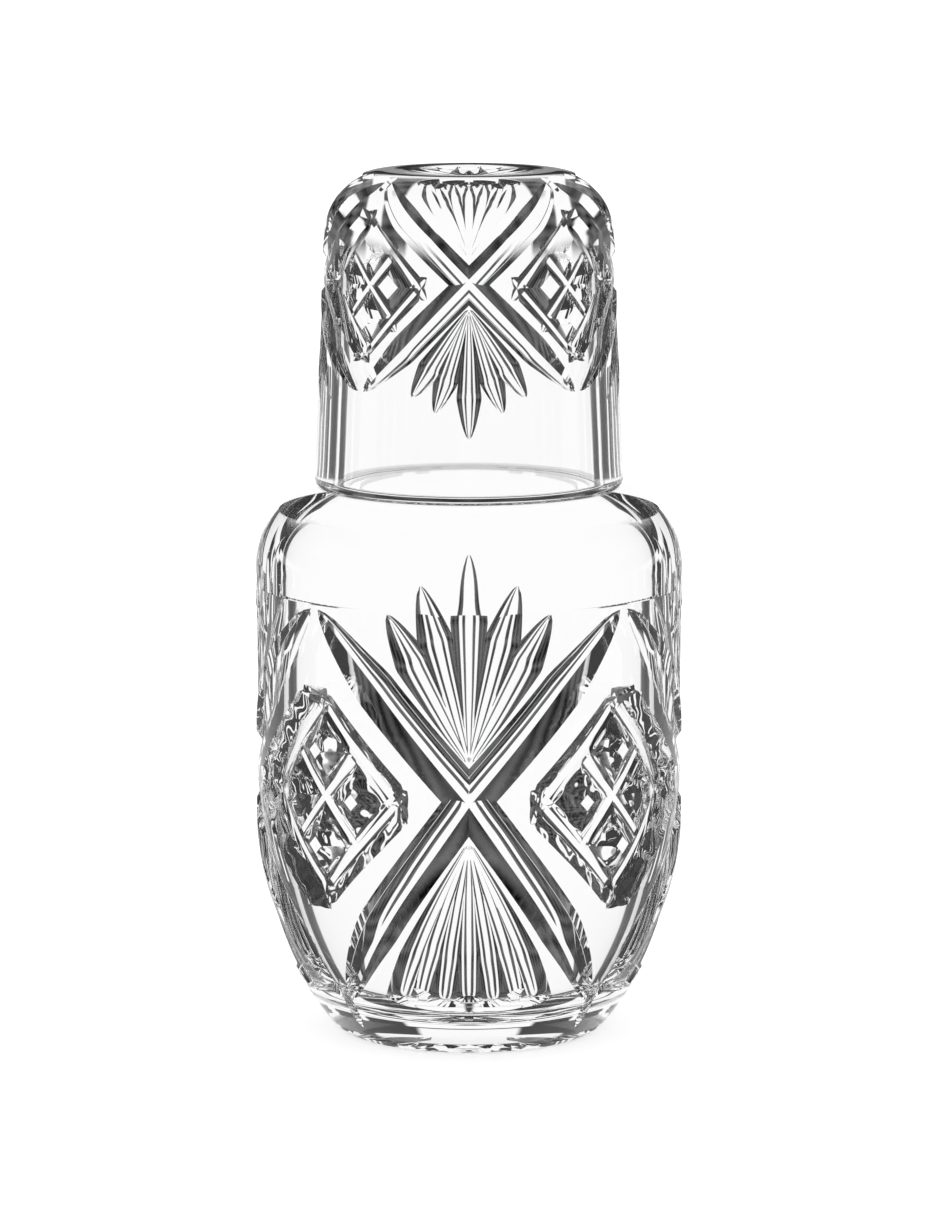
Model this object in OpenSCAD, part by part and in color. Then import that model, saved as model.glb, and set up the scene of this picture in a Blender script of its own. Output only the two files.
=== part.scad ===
// Bedside carafe with a tumbler that stands upside down over its neck.
// Both are thick clear glass and carry the same cut design: crossed mitre cuts, a tall and a
// short fan of leaf cuts at each crossing, and a net of crossing cuts in the panels between.

/* [Carafe] */
// Widest diameter of the body
body_d = 100; // [92:0.5:108]
// Height of the flat seat that the tumbler's rim stands on
seat_z = 129; // [124:0.5:136]
// Radius of the round shoulder
shoulder_r = 19.5; // [17.5:0.5:22]
// Radius of the long curve from the side down to the foot
belly_r = 77; // [72:1:90]
// Height where the straight side turns into that curve
belly_z = 51; // [48:0.5:54]
// Bevel around the edge of the foot
foot_bevel = 1.2; // [0.5:0.1:2]
// Thickness of the body's wall
body_wall = 6; // [5.5:0.25:7]
// Thickness of the glass under the water, at the middle
body_floor = 10; // [8:0.5:13]
// Radius of the bowl-shaped inner floor
body_bowl_r = 170; // [130:5:220]
// Thickness of the neck's wall
neck_wall = 3; // [2.5:0.25:3.5]
// Height of the neck above the seat
neck_h = 32; // [24:1:40]

/* [Tumbler] */
// Height of the tumbler
tumbler_h = 74; // [70:0.5:80]
// Outer diameter of its rim
rim_d = 72.5; // [71:0.5:74]
// Outer diameter where the side meets the round heel
heel_d = 67.5; // [66:0.5:69]
// Radius of the round heel
heel_r = 14; // [12:0.5:16]
// Thickness of its wall
tumbler_wall = 4.5; // [4.25:0.25:5]
// Thickness of its base
tumbler_floor = 5.5; // [5:0.25:8]
// Radius between its inner wall and its inner floor
tumbler_floor_r = 9.5; // [7:0.5:11]
// Width of the flat ground on the rim
rim_flat = 1.5; // [1:0.1:2]

/* [Seat] */
// Flat seat left showing outside the rim's own flat
seat_margin = 0.7; // [0.3:0.1:1.2]
// Room between the lip of the neck and the inside of the tumbler
neck_gap = 2; // [1:0.25:4]

/* [Underside] */
// Depth of the hollow under each base
hollow_h = 1.5; // [1:0.1:2]
// Flat ring left to stand on
stand_ring = 4; // [3:0.5:6]
// Rays of the star cut in the hollow
star_rays = 16; // [12:2:20]
// Depth of the star's rays below the hollow
star_depth = 1.2; // [0.8:0.1:1.5]

/* [Cut design] */
// Angles of the tall fan's leaves beside the middle one, in degrees around the vessel
tall_turn = [12.9, 22]; // [8:0.1:26]
// Angles of the short fan's leaves beside the middle one
short_turn = [8.6, 16, 23.2]; // [7:0.1:26]
// Angle of the tips of the mitre cuts at the tall fan
tall_arm_turn = 44; // [41:0.5:44.5]
// Angle of the tips of the mitre cuts at the short fan
short_arm_turn = 43; // [39:0.5:44]
// Half of the angle between neighbouring crossings of the net
net_turn = 12.2; // [10:0.1:13]
// Width of the mitre cuts towards the rim, for each millimetre of depth
open_spread = 1.7; // [1.5:0.05:1.9]
// The same towards the base
steep_spread = 1.45; // [1.2:0.05:1.6]
// The same for the leaves, to each side
leaf_spread = 2; // [1.7:0.05:2.2]
// The same for the net
net_spread = 1.4; // [1.2:0.05:1.6]
// The same for the short cuts below the tips of the mitre cuts
tail_spread = 0.8; // [0.6:0.05:1]

/* [Cuts on the carafe] */
// Height of the crossings
carafe_cross_z = 62.5; // [60:0.5:65]
// Reach of the mitre cuts above the crossing, along the surface
carafe_arm_up = 43; // [40:0.5:45]
// Reach of the mitre cuts below it
carafe_arm_down = 52; // [49:0.5:54]
// Reach of the short cuts from the tips of the mitre cuts down to the foot
carafe_tail = 61; // [58:0.5:62]
// Start of the tall fan above the crossing
carafe_tall_start = 9.5; // [8:0.5:12]
// Reach of the tall fan's leaves, middle leaf first
carafe_tall_reach = [58, 50.5, 43.5]; // [41:0.5:60]
// Start of the short fan below the crossing
carafe_short_start = 9; // [8:0.5:12]
// Reach of the short fan's leaves, middle leaf first
carafe_short_reach = [49.5, 51, 48, 51]; // [46:0.5:53]
// Middle of the net below the crossing
carafe_net_drop = 1; // [-1:0.5:4]
// Half of the height between neighbouring crossings of the net
carafe_net_rise = 11; // [10:0.25:12]
// Depth of the mitre cuts
carafe_cut = 3; // [2.6:0.1:3.2]

/* [Cuts on the tumbler] */
// Height of the crossings above the tumbler's own base
tumbler_cross_z = 23; // [21:0.5:25]
// Reach of the mitre cuts towards the rim, along the surface
tumbler_arm_up = 26; // [24:0.5:28]
// Reach of the mitre cuts towards the base
tumbler_arm_down = 21.5; // [20:0.5:24]
// Reach of the short cuts from their tips towards the base
tumbler_tail = 26; // [25:0.5:27]
// Start of the tall fan on the rim's side of the crossing
tumbler_tall_start = 6; // [5:0.5:9]
// Reach of the tall fan's leaves, middle leaf first
tumbler_tall_reach = [36, 30, 26.5]; // [24:0.5:38]
// Start of the short fan on the base's side of the crossing
tumbler_short_start = 6; // [5:0.5:8]
// Reach of the short fan's leaves, middle leaf first
tumbler_short_reach = [23.5, 24.5, 22.5, 24.5]; // [21:0.5:26]
// Middle of the net towards the base from the crossing
tumbler_net_drop = -1.5; // [-3:0.5:1]
// Half of the height between neighbouring crossings of the net
tumbler_net_rise = 7.5; // [7:0.25:8]
// Depth of the mitre cuts
tumbler_cut = 2; // [1.7:0.1:2.2]

/* [Hidden] */
$fn = 144;
glass = [0.86, 0.9, 0.92];

// Crossings around each vessel
crossings = 4;
// Depths of the other cuts for each millimetre of the mitre cuts' depth
tall_share = 0.7;
short_share = 0.5;
net_share = 1.05;
tail_share = 0.45;

// Room past a face that a cut runs through
over = 1;

body_r = body_d / 2;
rim_r = rim_d / 2;
rim_round = (tumbler_wall - rim_flat) / 2;
seat_r = rim_r - rim_round + seat_margin;
shoulder_x = body_r - shoulder_r;
shoulder_z = seat_z - sqrt(pow(shoulder_r, 2) - pow(seat_r - shoulder_x, 2));
belly_x = body_r - belly_r;
foot_r = belly_x + sqrt(pow(belly_r, 2) - pow(belly_z, 2));

heel_x = heel_d / 2 - heel_r;
side_slope = (rim_d - heel_d) / 2 / (tumbler_h - heel_r);
side_lean = atan(side_slope);

// Inner radius of the tumbler at a height above its own base
function tumbler_bore(z) = heel_d / 2 - tumbler_wall + (z - heel_r) * side_slope;
neck_r = tumbler_bore(tumbler_h - neck_h) - neck_gap;
lip_z = seat_z + neck_h;

// Outline of each vessel at a distance v along it from the crossings:
// radius, height, and tilt of the outward direction above level
carafe_skin = function (v)
    let (z = carafe_cross_z + v,
         low = (belly_z - z) / belly_r * 180 / PI,
         high = (z - shoulder_z) / shoulder_r * 180 / PI)
    low > 0 ? [belly_x + belly_r * cos(low), belly_z - belly_r * sin(low), -low]
    : high > 0 ? [shoulder_x + shoulder_r * cos(high), shoulder_z + shoulder_r * sin(high), high]
    : [body_r, z, 0];

tumbler_skin = function (v)
    let (z = tumbler_cross_z + v * cos(side_lean),
         low = (heel_r - tumbler_cross_z) / cos(side_lean) - v,
         turn = low / heel_r * 180 / PI)
    turn > 0 ? [heel_x + heel_r * cos(turn), heel_r - heel_r * sin(turn), -turn]
    : [heel_d / 2 + (z - heel_r) * side_slope, z, -side_lean];

function unit(a) = a / norm(a);

// Outward direction, and a point h above the surface, at angle u and distance v on a skin
function outward(skin, u, v) = let (t = skin(v).z) [cos(t) * cos(u), cos(t) * sin(u), sin(t)];
function point(skin, u, v, h = 0) = let (s = skin(v)) [s.x * cos(u), s.x * sin(u), s.y]
    + h * outward(skin, u, v);

// How far above the surface a cut's open side lies, and how far its tips do
cut_top = 4;
tip_top = 0.1;

// One V cut along stations [u, v, depth] on a skin, drawn out to a point at both ends.
// The two spreads are its widths per depth to the left and right of the way it runs.
module cut(skin, start, stations, finish, left, right) {
    count = len(stations);
    path = concat([start], stations, [finish]);
    middle = [for (p = path) point(skin, p[0], p[1])];
    ribs = [for (i = [1:count])
        let (p = path[i],
             n = outward(skin, p[0], p[1]),
             side = unit(cross(n, middle[i + 1] - middle[i - 1])),
             width = p[2] + cut_top)
        each [middle[i] + cut_top * n + side * width * left,
              middle[i] - p[2] * n,
              middle[i] + cut_top * n - side * width * right]];
    points = concat([point(skin, start[0], start[1], tip_top)], ribs,
                    [point(skin, finish[0], finish[1], tip_top)]);
    last = 3 * count + 1;
    caps = [for (k = [0:2])
        each [[0, 1 + (k + 1) % 3, 1 + k], [last, last - 3 + k, last - 3 + (k + 1) % 3]]];
    walls = [for (i = [0:1:count - 2], k = [0:2])
        let (a = 1 + 3 * i + k, b = 1 + 3 * i + (k + 1) % 3)
        each [[a, b + 3, a + 3], [a, b, b + 3]]];
    polyhedron(points, concat(caps, walls));
}

// Share of a leaf's depth, from its root at 0 to its tip at 1: deepest at its waist
leaf_root = 0.12;
leaf_waist = 0.68;
leaf_taper = 0.7;
function leaf_swell(s) = leaf_root + (1 - leaf_root) * s / leaf_waist;
function leaf_depth(s) = min(leaf_swell(s), pow((1 - s) / (1 - leaf_waist), leaf_taper));

// Shares of a leaf's way where its depth is set
leaf_stations = [0.15, 0.4, leaf_waist, 0.87];
blunt_stations = [0.15, 0.5, leaf_waist, 0.97];

// Pointed leaf of the tall fan
module leaf(skin, turn, start, reach, depth) {
    way = reach - start;
    cut(skin, [0, start],
        [for (s = leaf_stations) [turn * s, start + way * s, depth * leaf_depth(s)]],
        [turn, reach], leaf_spread, leaf_spread);
}

// Blunt leaf of the short fan, which is deepest at its end
module blunt_leaf(skin, turn, start, reach, depth) {
    way = reach - start;
    cut(skin, [0, start],
        [for (s = blunt_stations) [turn * s, start + way * s, depth * min(leaf_swell(s), 1)]],
        [turn, reach], leaf_spread, leaf_spread);
}

// Both fans at a crossing
module fans(skin, tall, short, depth) {
    leaf(skin, 0, tall[0], tall[1][0], depth * tall_share);
    blunt_leaf(skin, 0, -short[0], -short[1][0], depth * short_share);
    for (side = [-1, 1]) {
        for (i = [0:len(tall_turn) - 1])
            leaf(skin, side * tall_turn[i], tall[0], tall[1][i + 1], depth * tall_share);
        for (i = [0:len(short_turn) - 1])
            blunt_leaf(skin, side * short_turn[i], -short[0], -short[1][i + 1], depth * short_share);
    }
}

// Share of a mitre cut's depth, from its crossing at 0 to its tip at 1: deepest at its waist
mitre_root = 0.9;
mitre_waist = 0.6;
mitre_taper = 0.65;
function mitre_depth(s) = min(mitre_root + (1 - mitre_root) * s / mitre_waist,
                              pow((1 - s) / (1 - mitre_waist), mitre_taper));

// Shares of a mitre cut's way from tip to crossing where its depth is set
mitre_stations = [0.93, 0.83, mitre_waist, 0.3];

// One mitre cut through a crossing, from the tall fan's side down to the short fan's
module mitre(skin, side, up, down, depth) {
    tall = side * tall_arm_turn;
    short = -side * short_arm_turn;
    left = side < 0 ? open_spread : steep_spread;
    right = side < 0 ? steep_spread : open_spread;
    cut(skin, [tall, up],
        concat([for (s = mitre_stations) [tall * s, up * s, depth * mitre_depth(s)]],
               [[0, 0, depth * mitre_depth(0)]],
               [for (i = [len(mitre_stations) - 1:-1:0])
                   let (s = mitre_stations[i]) [short * s, -down * s, depth * mitre_depth(s)]]),
        [short, -down], left, right);
}

// Shares of a tail's way where it has its full depth, and how far it starts inside the tips of
// the mitre cuts for each millimetre of their depth
tail_stations = [0.3, 0.8];
tail_lap = 2;

// Short upright cut between two crossings, from the tips of their mitre cuts down to the base
module tail(skin, start, reach, depth) {
    turn = 180 / crossings;
    cut(skin, [turn, -start], [for (s = tail_stations) [turn, -start - (reach - start) * s, depth]],
        [turn, -reach], tail_spread, tail_spread);
}

// Where a net's cuts run out, for each step from its middle to the next crossing
net_end = 1.4;

// The net between two crossings: three cuts each way
module net(skin, middle, rise, depth) {
    turn = 180 / crossings;
    for (way = [-1, 1], k = [-1:1]) {
        u = turn + k * net_turn * way;
        v = middle - k * rise;
        cut(skin, [u - net_end * net_turn * way, v - net_end * rise],
            [for (s = [-1:1]) [u + s * net_turn * way, v + s * rise, depth]],
            [u + net_end * net_turn * way, v + net_end * rise], net_spread, net_spread);
    }
}

// Everything that is cut into one vessel's outside
module design(skin, arms, tall, short, net_middle, net_rise, depth) {
    tail_start = arms[1] - tail_lap * depth;
    for (i = [0:crossings - 1]) rotate(i * 360 / crossings) {
        for (side = [-1, 1]) mitre(skin, side, arms[0], arms[1], depth);
        fans(skin, tall, short, depth);
        tail(skin, tail_start, arms[2], depth * tail_share);
        net(skin, net_middle, net_rise, depth * net_share);
    }
}

// Ends and widest place of the star's rays as shares of the hollow's radius, the share of the
// hollow's height where they start, and the share of the circle that they fill at their waist
star_root = 0.06;
star_waist = 0.6;
star_tip = 0.94;
star_start = 0.9;
star_fill = 0.9;

// Shallow hollow under a base with a flat ring of the given radius, and the star in it
module underside(ring) {
    edge = ring - stand_ring;
    dome = (pow(edge, 2) + pow(hollow_h, 2)) / 2 / hollow_h;
    translate([0, 0, hollow_h - dome]) sphere(dome);
    waist = edge * star_waist;
    roof = hollow_h * (1 - pow(star_waist, 2)) + star_depth;
    width = waist * tan(180 / star_rays) * star_fill * (roof + over) / star_depth;
    for (i = [0:star_rays - 1]) rotate((i + 0.5) * 360 / star_rays)
        polyhedron([[edge * star_root, 0, hollow_h * star_start], [waist, -width, -over],
                    [waist, 0, roof], [waist, width, -over], [edge * star_tip, 0, 0]],
                   [[0, 2, 1], [0, 3, 2], [0, 1, 3], [4, 1, 2], [4, 2, 3], [4, 3, 1]]);
}

// A level band of an outline, from the axis out to a radius
module band(r, low, high) polygon([[0, low], [r, low], [r, high], [0, high]]);

// A quarter of a round outline above or below the level of its centre
module bend(x, z, r, high) intersection() {
    translate([x, z]) circle(r);
    band(x + r + over, min(z, high), max(z, high));
}

// Half outline of the carafe, solid
module carafe_outline() {
    bevel_r = foot_r - foot_bevel;
    band(body_r, belly_z, shoulder_z);
    intersection() {
        bend(belly_x, belly_z, belly_r, 0);
        polygon([[0, 0], [bevel_r, 0], [bevel_r + belly_z, belly_z], [0, belly_z]]);
    }
    bend(shoulder_x, shoulder_z, shoulder_r, seat_z);
    band(shoulder_x, shoulder_z, seat_z);
    band(neck_r, shoulder_z, lip_z - neck_wall / 2);
    translate([neck_r - neck_wall / 2, lip_z - neck_wall / 2]) circle(neck_wall / 2);
}

// Half outline of the water space, open at the neck
module carafe_space() {
    roof_z = shoulder_z + shoulder_r - body_wall;
    band(body_r - body_wall, belly_z, shoulder_z);
    intersection() {
        bend(belly_x, belly_z, belly_r - body_wall, 0);
        translate([0, body_floor + body_bowl_r]) circle(body_bowl_r);
    }
    bend(shoulder_x, shoulder_z, shoulder_r - body_wall, roof_z);
    band(shoulder_x, shoulder_z, roof_z);
    band(neck_r - neck_wall, shoulder_z, lip_z + over);
}

module carafe() color(glass, 0.4) difference() {
    rotate_extrude() difference() {
        carafe_outline();
        carafe_space();
    }
    underside(foot_r - foot_bevel);
    design(carafe_skin, [carafe_arm_up, carafe_arm_down, carafe_tail],
           [carafe_tall_start, carafe_tall_reach], [carafe_short_start, carafe_short_reach],
           -carafe_net_drop, carafe_net_rise, carafe_cut);
}

// Half outline of the tumbler standing on its base, solid
module tumbler_outline() {
    side = rim_r - side_slope * rim_round;
    band(heel_x, 0, heel_r);
    bend(heel_x, heel_r, heel_r, 0);
    polygon([[0, heel_r], [heel_d / 2, heel_r], [side, tumbler_h - rim_round],
             [rim_r - rim_round, tumbler_h], [0, tumbler_h]]);
}

// Half outline of the space in the tumbler
module tumbler_space() {
    bend_z = tumbler_floor + tumbler_floor_r;
    bend_x = tumbler_bore(bend_z) - tumbler_floor_r;
    lip = tumbler_h - rim_round;
    band(bend_x, tumbler_floor, bend_z);
    bend(bend_x, bend_z, tumbler_floor_r, tumbler_floor);
    polygon([[0, bend_z], [bend_x + tumbler_floor_r, bend_z], [tumbler_bore(lip), lip],
             [tumbler_bore(lip) + rim_round + over, tumbler_h + over], [0, tumbler_h + over]]);
}

module tumbler() color(glass, 0.4) translate([0, 0, seat_z + tumbler_h]) rotate([180, 0, 0])
    difference() {
        rotate_extrude() difference() {
            tumbler_outline();
            tumbler_space();
        }
        underside(heel_x);
        design(tumbler_skin, [tumbler_arm_up, tumbler_arm_down, tumbler_tail],
               [tumbler_tall_start, tumbler_tall_reach], [tumbler_short_start, tumbler_short_reach],
               -tumbler_net_drop, tumbler_net_rise, tumbler_cut);
    }

carafe();
tumbler();
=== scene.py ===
"""Bedside carafe with a tumbler over its neck, both in clear cut glass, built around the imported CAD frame."""

from __future__ import annotations

import logging
import math
from dataclasses import dataclass, field
from enum import Enum
from typing import Any, Callable, Sequence

import bpy
import numpy as np
from mathutils import Matrix, Vector

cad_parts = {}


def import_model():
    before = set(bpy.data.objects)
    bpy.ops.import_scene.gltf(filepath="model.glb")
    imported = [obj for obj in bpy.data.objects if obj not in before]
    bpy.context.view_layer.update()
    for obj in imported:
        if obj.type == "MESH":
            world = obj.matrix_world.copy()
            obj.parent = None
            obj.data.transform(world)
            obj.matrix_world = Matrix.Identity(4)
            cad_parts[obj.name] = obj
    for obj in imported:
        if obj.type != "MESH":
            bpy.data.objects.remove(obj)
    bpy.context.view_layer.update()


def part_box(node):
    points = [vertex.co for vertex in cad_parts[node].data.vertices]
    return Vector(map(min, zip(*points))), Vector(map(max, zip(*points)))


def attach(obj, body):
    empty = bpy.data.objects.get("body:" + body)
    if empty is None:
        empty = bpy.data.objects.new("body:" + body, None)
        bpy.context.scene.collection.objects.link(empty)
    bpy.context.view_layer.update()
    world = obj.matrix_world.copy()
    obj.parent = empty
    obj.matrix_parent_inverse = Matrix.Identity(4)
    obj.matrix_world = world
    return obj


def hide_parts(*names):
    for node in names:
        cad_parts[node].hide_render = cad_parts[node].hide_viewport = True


LOG = logging.getLogger("carafe_set")

# Sizes in this script are millimetres; Blender works in metres.
MM = 0.001


class Pen:
    """Draws half of a turned outline as points (radius, height), from the axis round to the axis."""

    def __init__(self, r: float, z: float) -> None:
        """Starts the outline at a point."""
        self.points: list[tuple[float, float]] = [(r, z)]
        self.corners: dict[int, float] = {}

    def line(self, r: float, z: float, steps: int = 1, soften: float = 0.0) -> "Pen":
        """Draws a straight run to a point.

        Args:
            r: Radius of its end.
            z: Height of its end.
            steps: Parts that the run is drawn in.
            soften: How far before and after its end the corner there is rounded off.

        Returns:
            The pen.
        """
        r0, z0 = self.points[-1]
        for share in np.linspace(0.0, 1.0, steps + 1)[1:]:
            self.points.append((r0 + (r - r0) * share, z0 + (z - z0) * share))
        if soften > 0.0:
            self.corners[len(self.points) - 1] = soften
        return self

    def arc(self, r: float, z: float, radius: float, start: float, end: float, soften: float = 0.0) -> "Pen":
        """Draws part of a circle.

        Args:
            r: Radius of the circle's centre from the axis.
            z: Height of its centre.
            radius: Its own radius.
            start: Angle of its first point above level, in degrees.
            end: Angle of its last point.
            soften: How far before and after its end the corner there is rounded off.

        Returns:
            The pen.
        """
        run = abs(math.radians(end - start)) * radius
        fine = min(round(abs(end - start) / ARC_STEP), round(run / LEAST_RUN))
        steps = max(LEAST_STEPS, fine, round(run / ARC_RUN))
        for turn in np.radians(np.linspace(start, end, steps + 1)):
            point = (r + radius * math.cos(turn), z + radius * math.sin(turn))
            if math.dist(point, self.points[-1]) > SAME_POINT:
                self.points.append(point)
        if soften > 0.0:
            self.corners[len(self.points) - 1] = soften
        return self

    def outline(self) -> np.ndarray:
        """Returns the points with the marked corners rounded off."""
        points = np.array(self.points)
        for index in sorted(self.corners, reverse=True):
            points = self._rounded(points, index, self.corners[index])
        return points

    @staticmethod
    def _rounded(points: np.ndarray, index: int, reach: float) -> np.ndarray:
        """Replaces a corner by a curve that starts and ends a given run away from it.

        Args:
            points: The outline.
            index: Which point is the corner.
            reach: Run before and after the corner.

        Returns:
            The outline with the curve in it.
        """

        def walk(step: int) -> tuple[int, np.ndarray]:
            """Finds where the curve meets the outline on one side of the corner."""
            left, at = reach, index
            while True:
                run = float(np.linalg.norm(points[at + step] - points[at]))
                if run >= left:
                    return at + step, points[at] + (points[at + step] - points[at]) * left / run
                left, at = left - run, at + step

        before, start = walk(-1)
        after, end = walk(1)
        share = np.linspace(0.0, 1.0, CORNER_STEPS + 1)[:, None]
        curve = start * (1 - share) ** 2 + points[index] * 2 * share * (1 - share) + end * share**2
        return np.vstack([points[: before + 1], curve, points[after:]])


# Turn, longest run and shortest run of an arc's parts, and the fewest parts of an arc
ARC_STEP = 3.0
ARC_RUN = 1.6
LEAST_RUN = 0.4
LEAST_STEPS = 4
# Parts of a rounded corner, and the distance below which two points are one
CORNER_STEPS = 6
SAME_POINT = 1e-4


@dataclass
class MeshParts:
    """Points and faces of a mesh in the making."""

    points: list[np.ndarray] = field(default_factory=list)
    faces: list[tuple[int, ...]] = field(default_factory=list)
    count: int = 0

    def add(self, points: np.ndarray, faces: Sequence[tuple[int, ...]]) -> None:
        """Adds a closed shell, turned so that its faces point outwards."""
        if shell_volume(points, faces) < 0.0:
            faces = [tuple(reversed(face)) for face in faces]
        self.points.append(points)
        self.faces.extend(tuple(i + self.count for i in face) for face in faces)
        self.count += len(points)

    def mesh(self, name: str) -> bpy.types.Mesh:
        """Returns the shells as one Blender mesh in metres."""
        mesh = bpy.data.meshes.new(name)
        mesh.from_pydata((np.vstack(self.points) * MM).tolist(), [], self.faces)
        mesh.validate()
        return mesh


def shell_volume(points: np.ndarray, faces: Sequence[tuple[int, ...]]) -> float:
    """Returns the signed volume inside a closed shell."""
    total = 0.0
    for face in faces:
        a = points[face[0]]
        for i, j in zip(face[1:], face[2:]):
            total += float(np.dot(a, np.cross(points[i], points[j])))
    return total / 6.0


def turned(outline: np.ndarray, around: int) -> tuple[np.ndarray, list[tuple[int, ...]]]:
    """Turns a half outline about the axis into a closed shell.

    Args:
        outline: Points (radius, height) that start and end on the axis.
        around: Faces around the axis.

    Returns:
        The shell's points and faces.
    """
    turn = (np.arange(around) + 0.5) * 2 * math.pi / around
    rings = outline[1:-1]
    ring = np.stack([np.outer(rings[:, 0], np.cos(turn)), np.outer(rings[:, 0], np.sin(turn)),
                     np.repeat(rings[:, 1:2], around, axis=1)], axis=2).reshape(-1, 3)
    points = np.vstack([ring, [[0.0, 0.0, outline[0, 1]], [0.0, 0.0, outline[-1, 1]]]])
    first, last = len(points) - 2, len(points) - 1
    faces: list[tuple[int, ...]] = []
    top = (len(rings) - 1) * around
    for j in range(around):
        k = (j + 1) % around
        faces.append((first, k, j))
        faces.append((top + j, top + k, last))
        for base in range(0, top, around):
            faces.append((base + j, base + k, base + around + k, base + around + j))
    return points, faces


@dataclass(frozen=True)
class Side:
    """One side of a cut: its run per depth, and its bow, 1 for flat, more for hollow and less for rounded."""

    spread: float
    bow: float = 1.0


@dataclass(frozen=True)
class Section:
    """Shape across a cut: its sides to the left and right of its run, and the flat along its valley."""

    left: Side
    right: Side
    valley: float

    def rails(self, depth: np.ndarray) -> list[tuple[np.ndarray, np.ndarray]]:
        """Returns offset and level of each long edge of the cutter, from left to right.

        Args:
            depth: Depth at each station.

        Returns:
            Pairs of arrays, offset from the run and height above the surface.
        """
        valley = self.valley / 2 * np.clip(VALLEY_FILL * depth / depth.max(), VALLEY_TIP, 1.0)
        top = np.full(len(depth), CUTTER_TOP)
        made = []
        for side, way in ((self.left, 1.0), (self.right, -1.0)):
            share = np.linspace(1.0, 0.0, SIDE_STEPS + 1)
            edge = [(way * (valley + side.spread * (depth + CUTTER_TOP / side.bow)), top)]
            if side.bow != 1.0:
                edge += [(way * (valley + side.spread * depth * x), -depth * (1 - x**side.bow))
                         for x in share]
            else:
                edge += [(way * valley, -depth)]
            made.extend(edge if way > 0.0 else reversed(edge))
        return made


Skin = Callable[[np.ndarray], tuple[np.ndarray, np.ndarray, np.ndarray]]

# How far above the surface a cutter's open side lies, and how far its ends stand clear
CUTTER_TOP = 0.6
CUTTER_CLEAR = 0.12
# Parts of a hollow side
SIDE_STEPS = 5
# Share of the valley's width left at the tips, and how soon it is full
VALLEY_TIP = 0.05
VALLEY_FILL = 2.0
LEAST_DEPTH = 0.02
# Stations along half a mitre cut, a leaf, an upright cut and a cut of the net
ARM_STATIONS = 25
LEAF_STATIONS = 31
TAIL_STATIONS = 13
NET_STATIONS = 33


def surface_frame(skin: Skin, stations: np.ndarray) -> tuple[np.ndarray, np.ndarray, np.ndarray]:
    """Returns the points of a run on a skin, the way outwards there and the way to its left."""
    turn = np.radians(stations[:, 0])
    radius, height, tilt = skin(stations[:, 1])
    middle = np.stack([radius * np.cos(turn), radius * np.sin(turn), height], axis=1)
    out = np.stack([np.cos(tilt) * np.cos(turn), np.cos(tilt) * np.sin(turn), np.sin(tilt)], axis=1)
    side = np.cross(out, np.gradient(middle, axis=0))
    return middle, out, side / np.linalg.norm(side, axis=1)[:, None]


def shifted(skin: Skin, stations: np.ndarray, offset: np.ndarray) -> np.ndarray:
    """Returns a run moved to its left over the surface by an offset at each station."""
    radius = skin(stations[:, 1])[0]
    run = np.stack([np.gradient(np.radians(stations[:, 0])) * radius, np.gradient(stations[:, 1])], axis=1)
    run /= np.linalg.norm(run, axis=1)[:, None]
    moved = stations.copy()
    moved[:, 0] -= np.degrees(offset * run[:, 1] / radius)
    moved[:, 1] += offset * run[:, 0]
    return moved


def sweep(skin: Skin, stations: np.ndarray, section: Section) -> tuple[np.ndarray, list[tuple[int, ...]]]:
    """Makes the closed cutter of one cut.

    Args:
        skin: Outline of the vessel: radius, height and tilt at a run along it.
        stations: Rows of angle in degrees, run along the outline, and depth.
        section: Shape across the cut.

    Returns:
        The cutter's points and faces.
    """
    middle, out, side = surface_frame(skin, stations)
    depth = np.maximum(stations[:, 2], LEAST_DEPTH)
    lift = np.zeros(len(depth))
    lift[[0, -1]] = CUTTER_CLEAR + depth[[0, -1]]
    rails = [middle + side * offset[:, None] + out * (level + lift)[:, None]
             for offset, level in section.rails(depth)]
    points = np.stack(rails, axis=1).reshape(-1, 3)
    count, last = len(rails), (len(depth) - 1) * len(rails)
    faces: list[tuple[int, ...]] = [tuple(range(count)), tuple(range(last + count - 1, last - 1, -1))]
    for base in range(0, last, count):
        for i in range(count):
            j = (i + 1) % count
            faces.append((base + j, base + i, base + count + i, base + count + j))
    return points, faces


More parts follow.
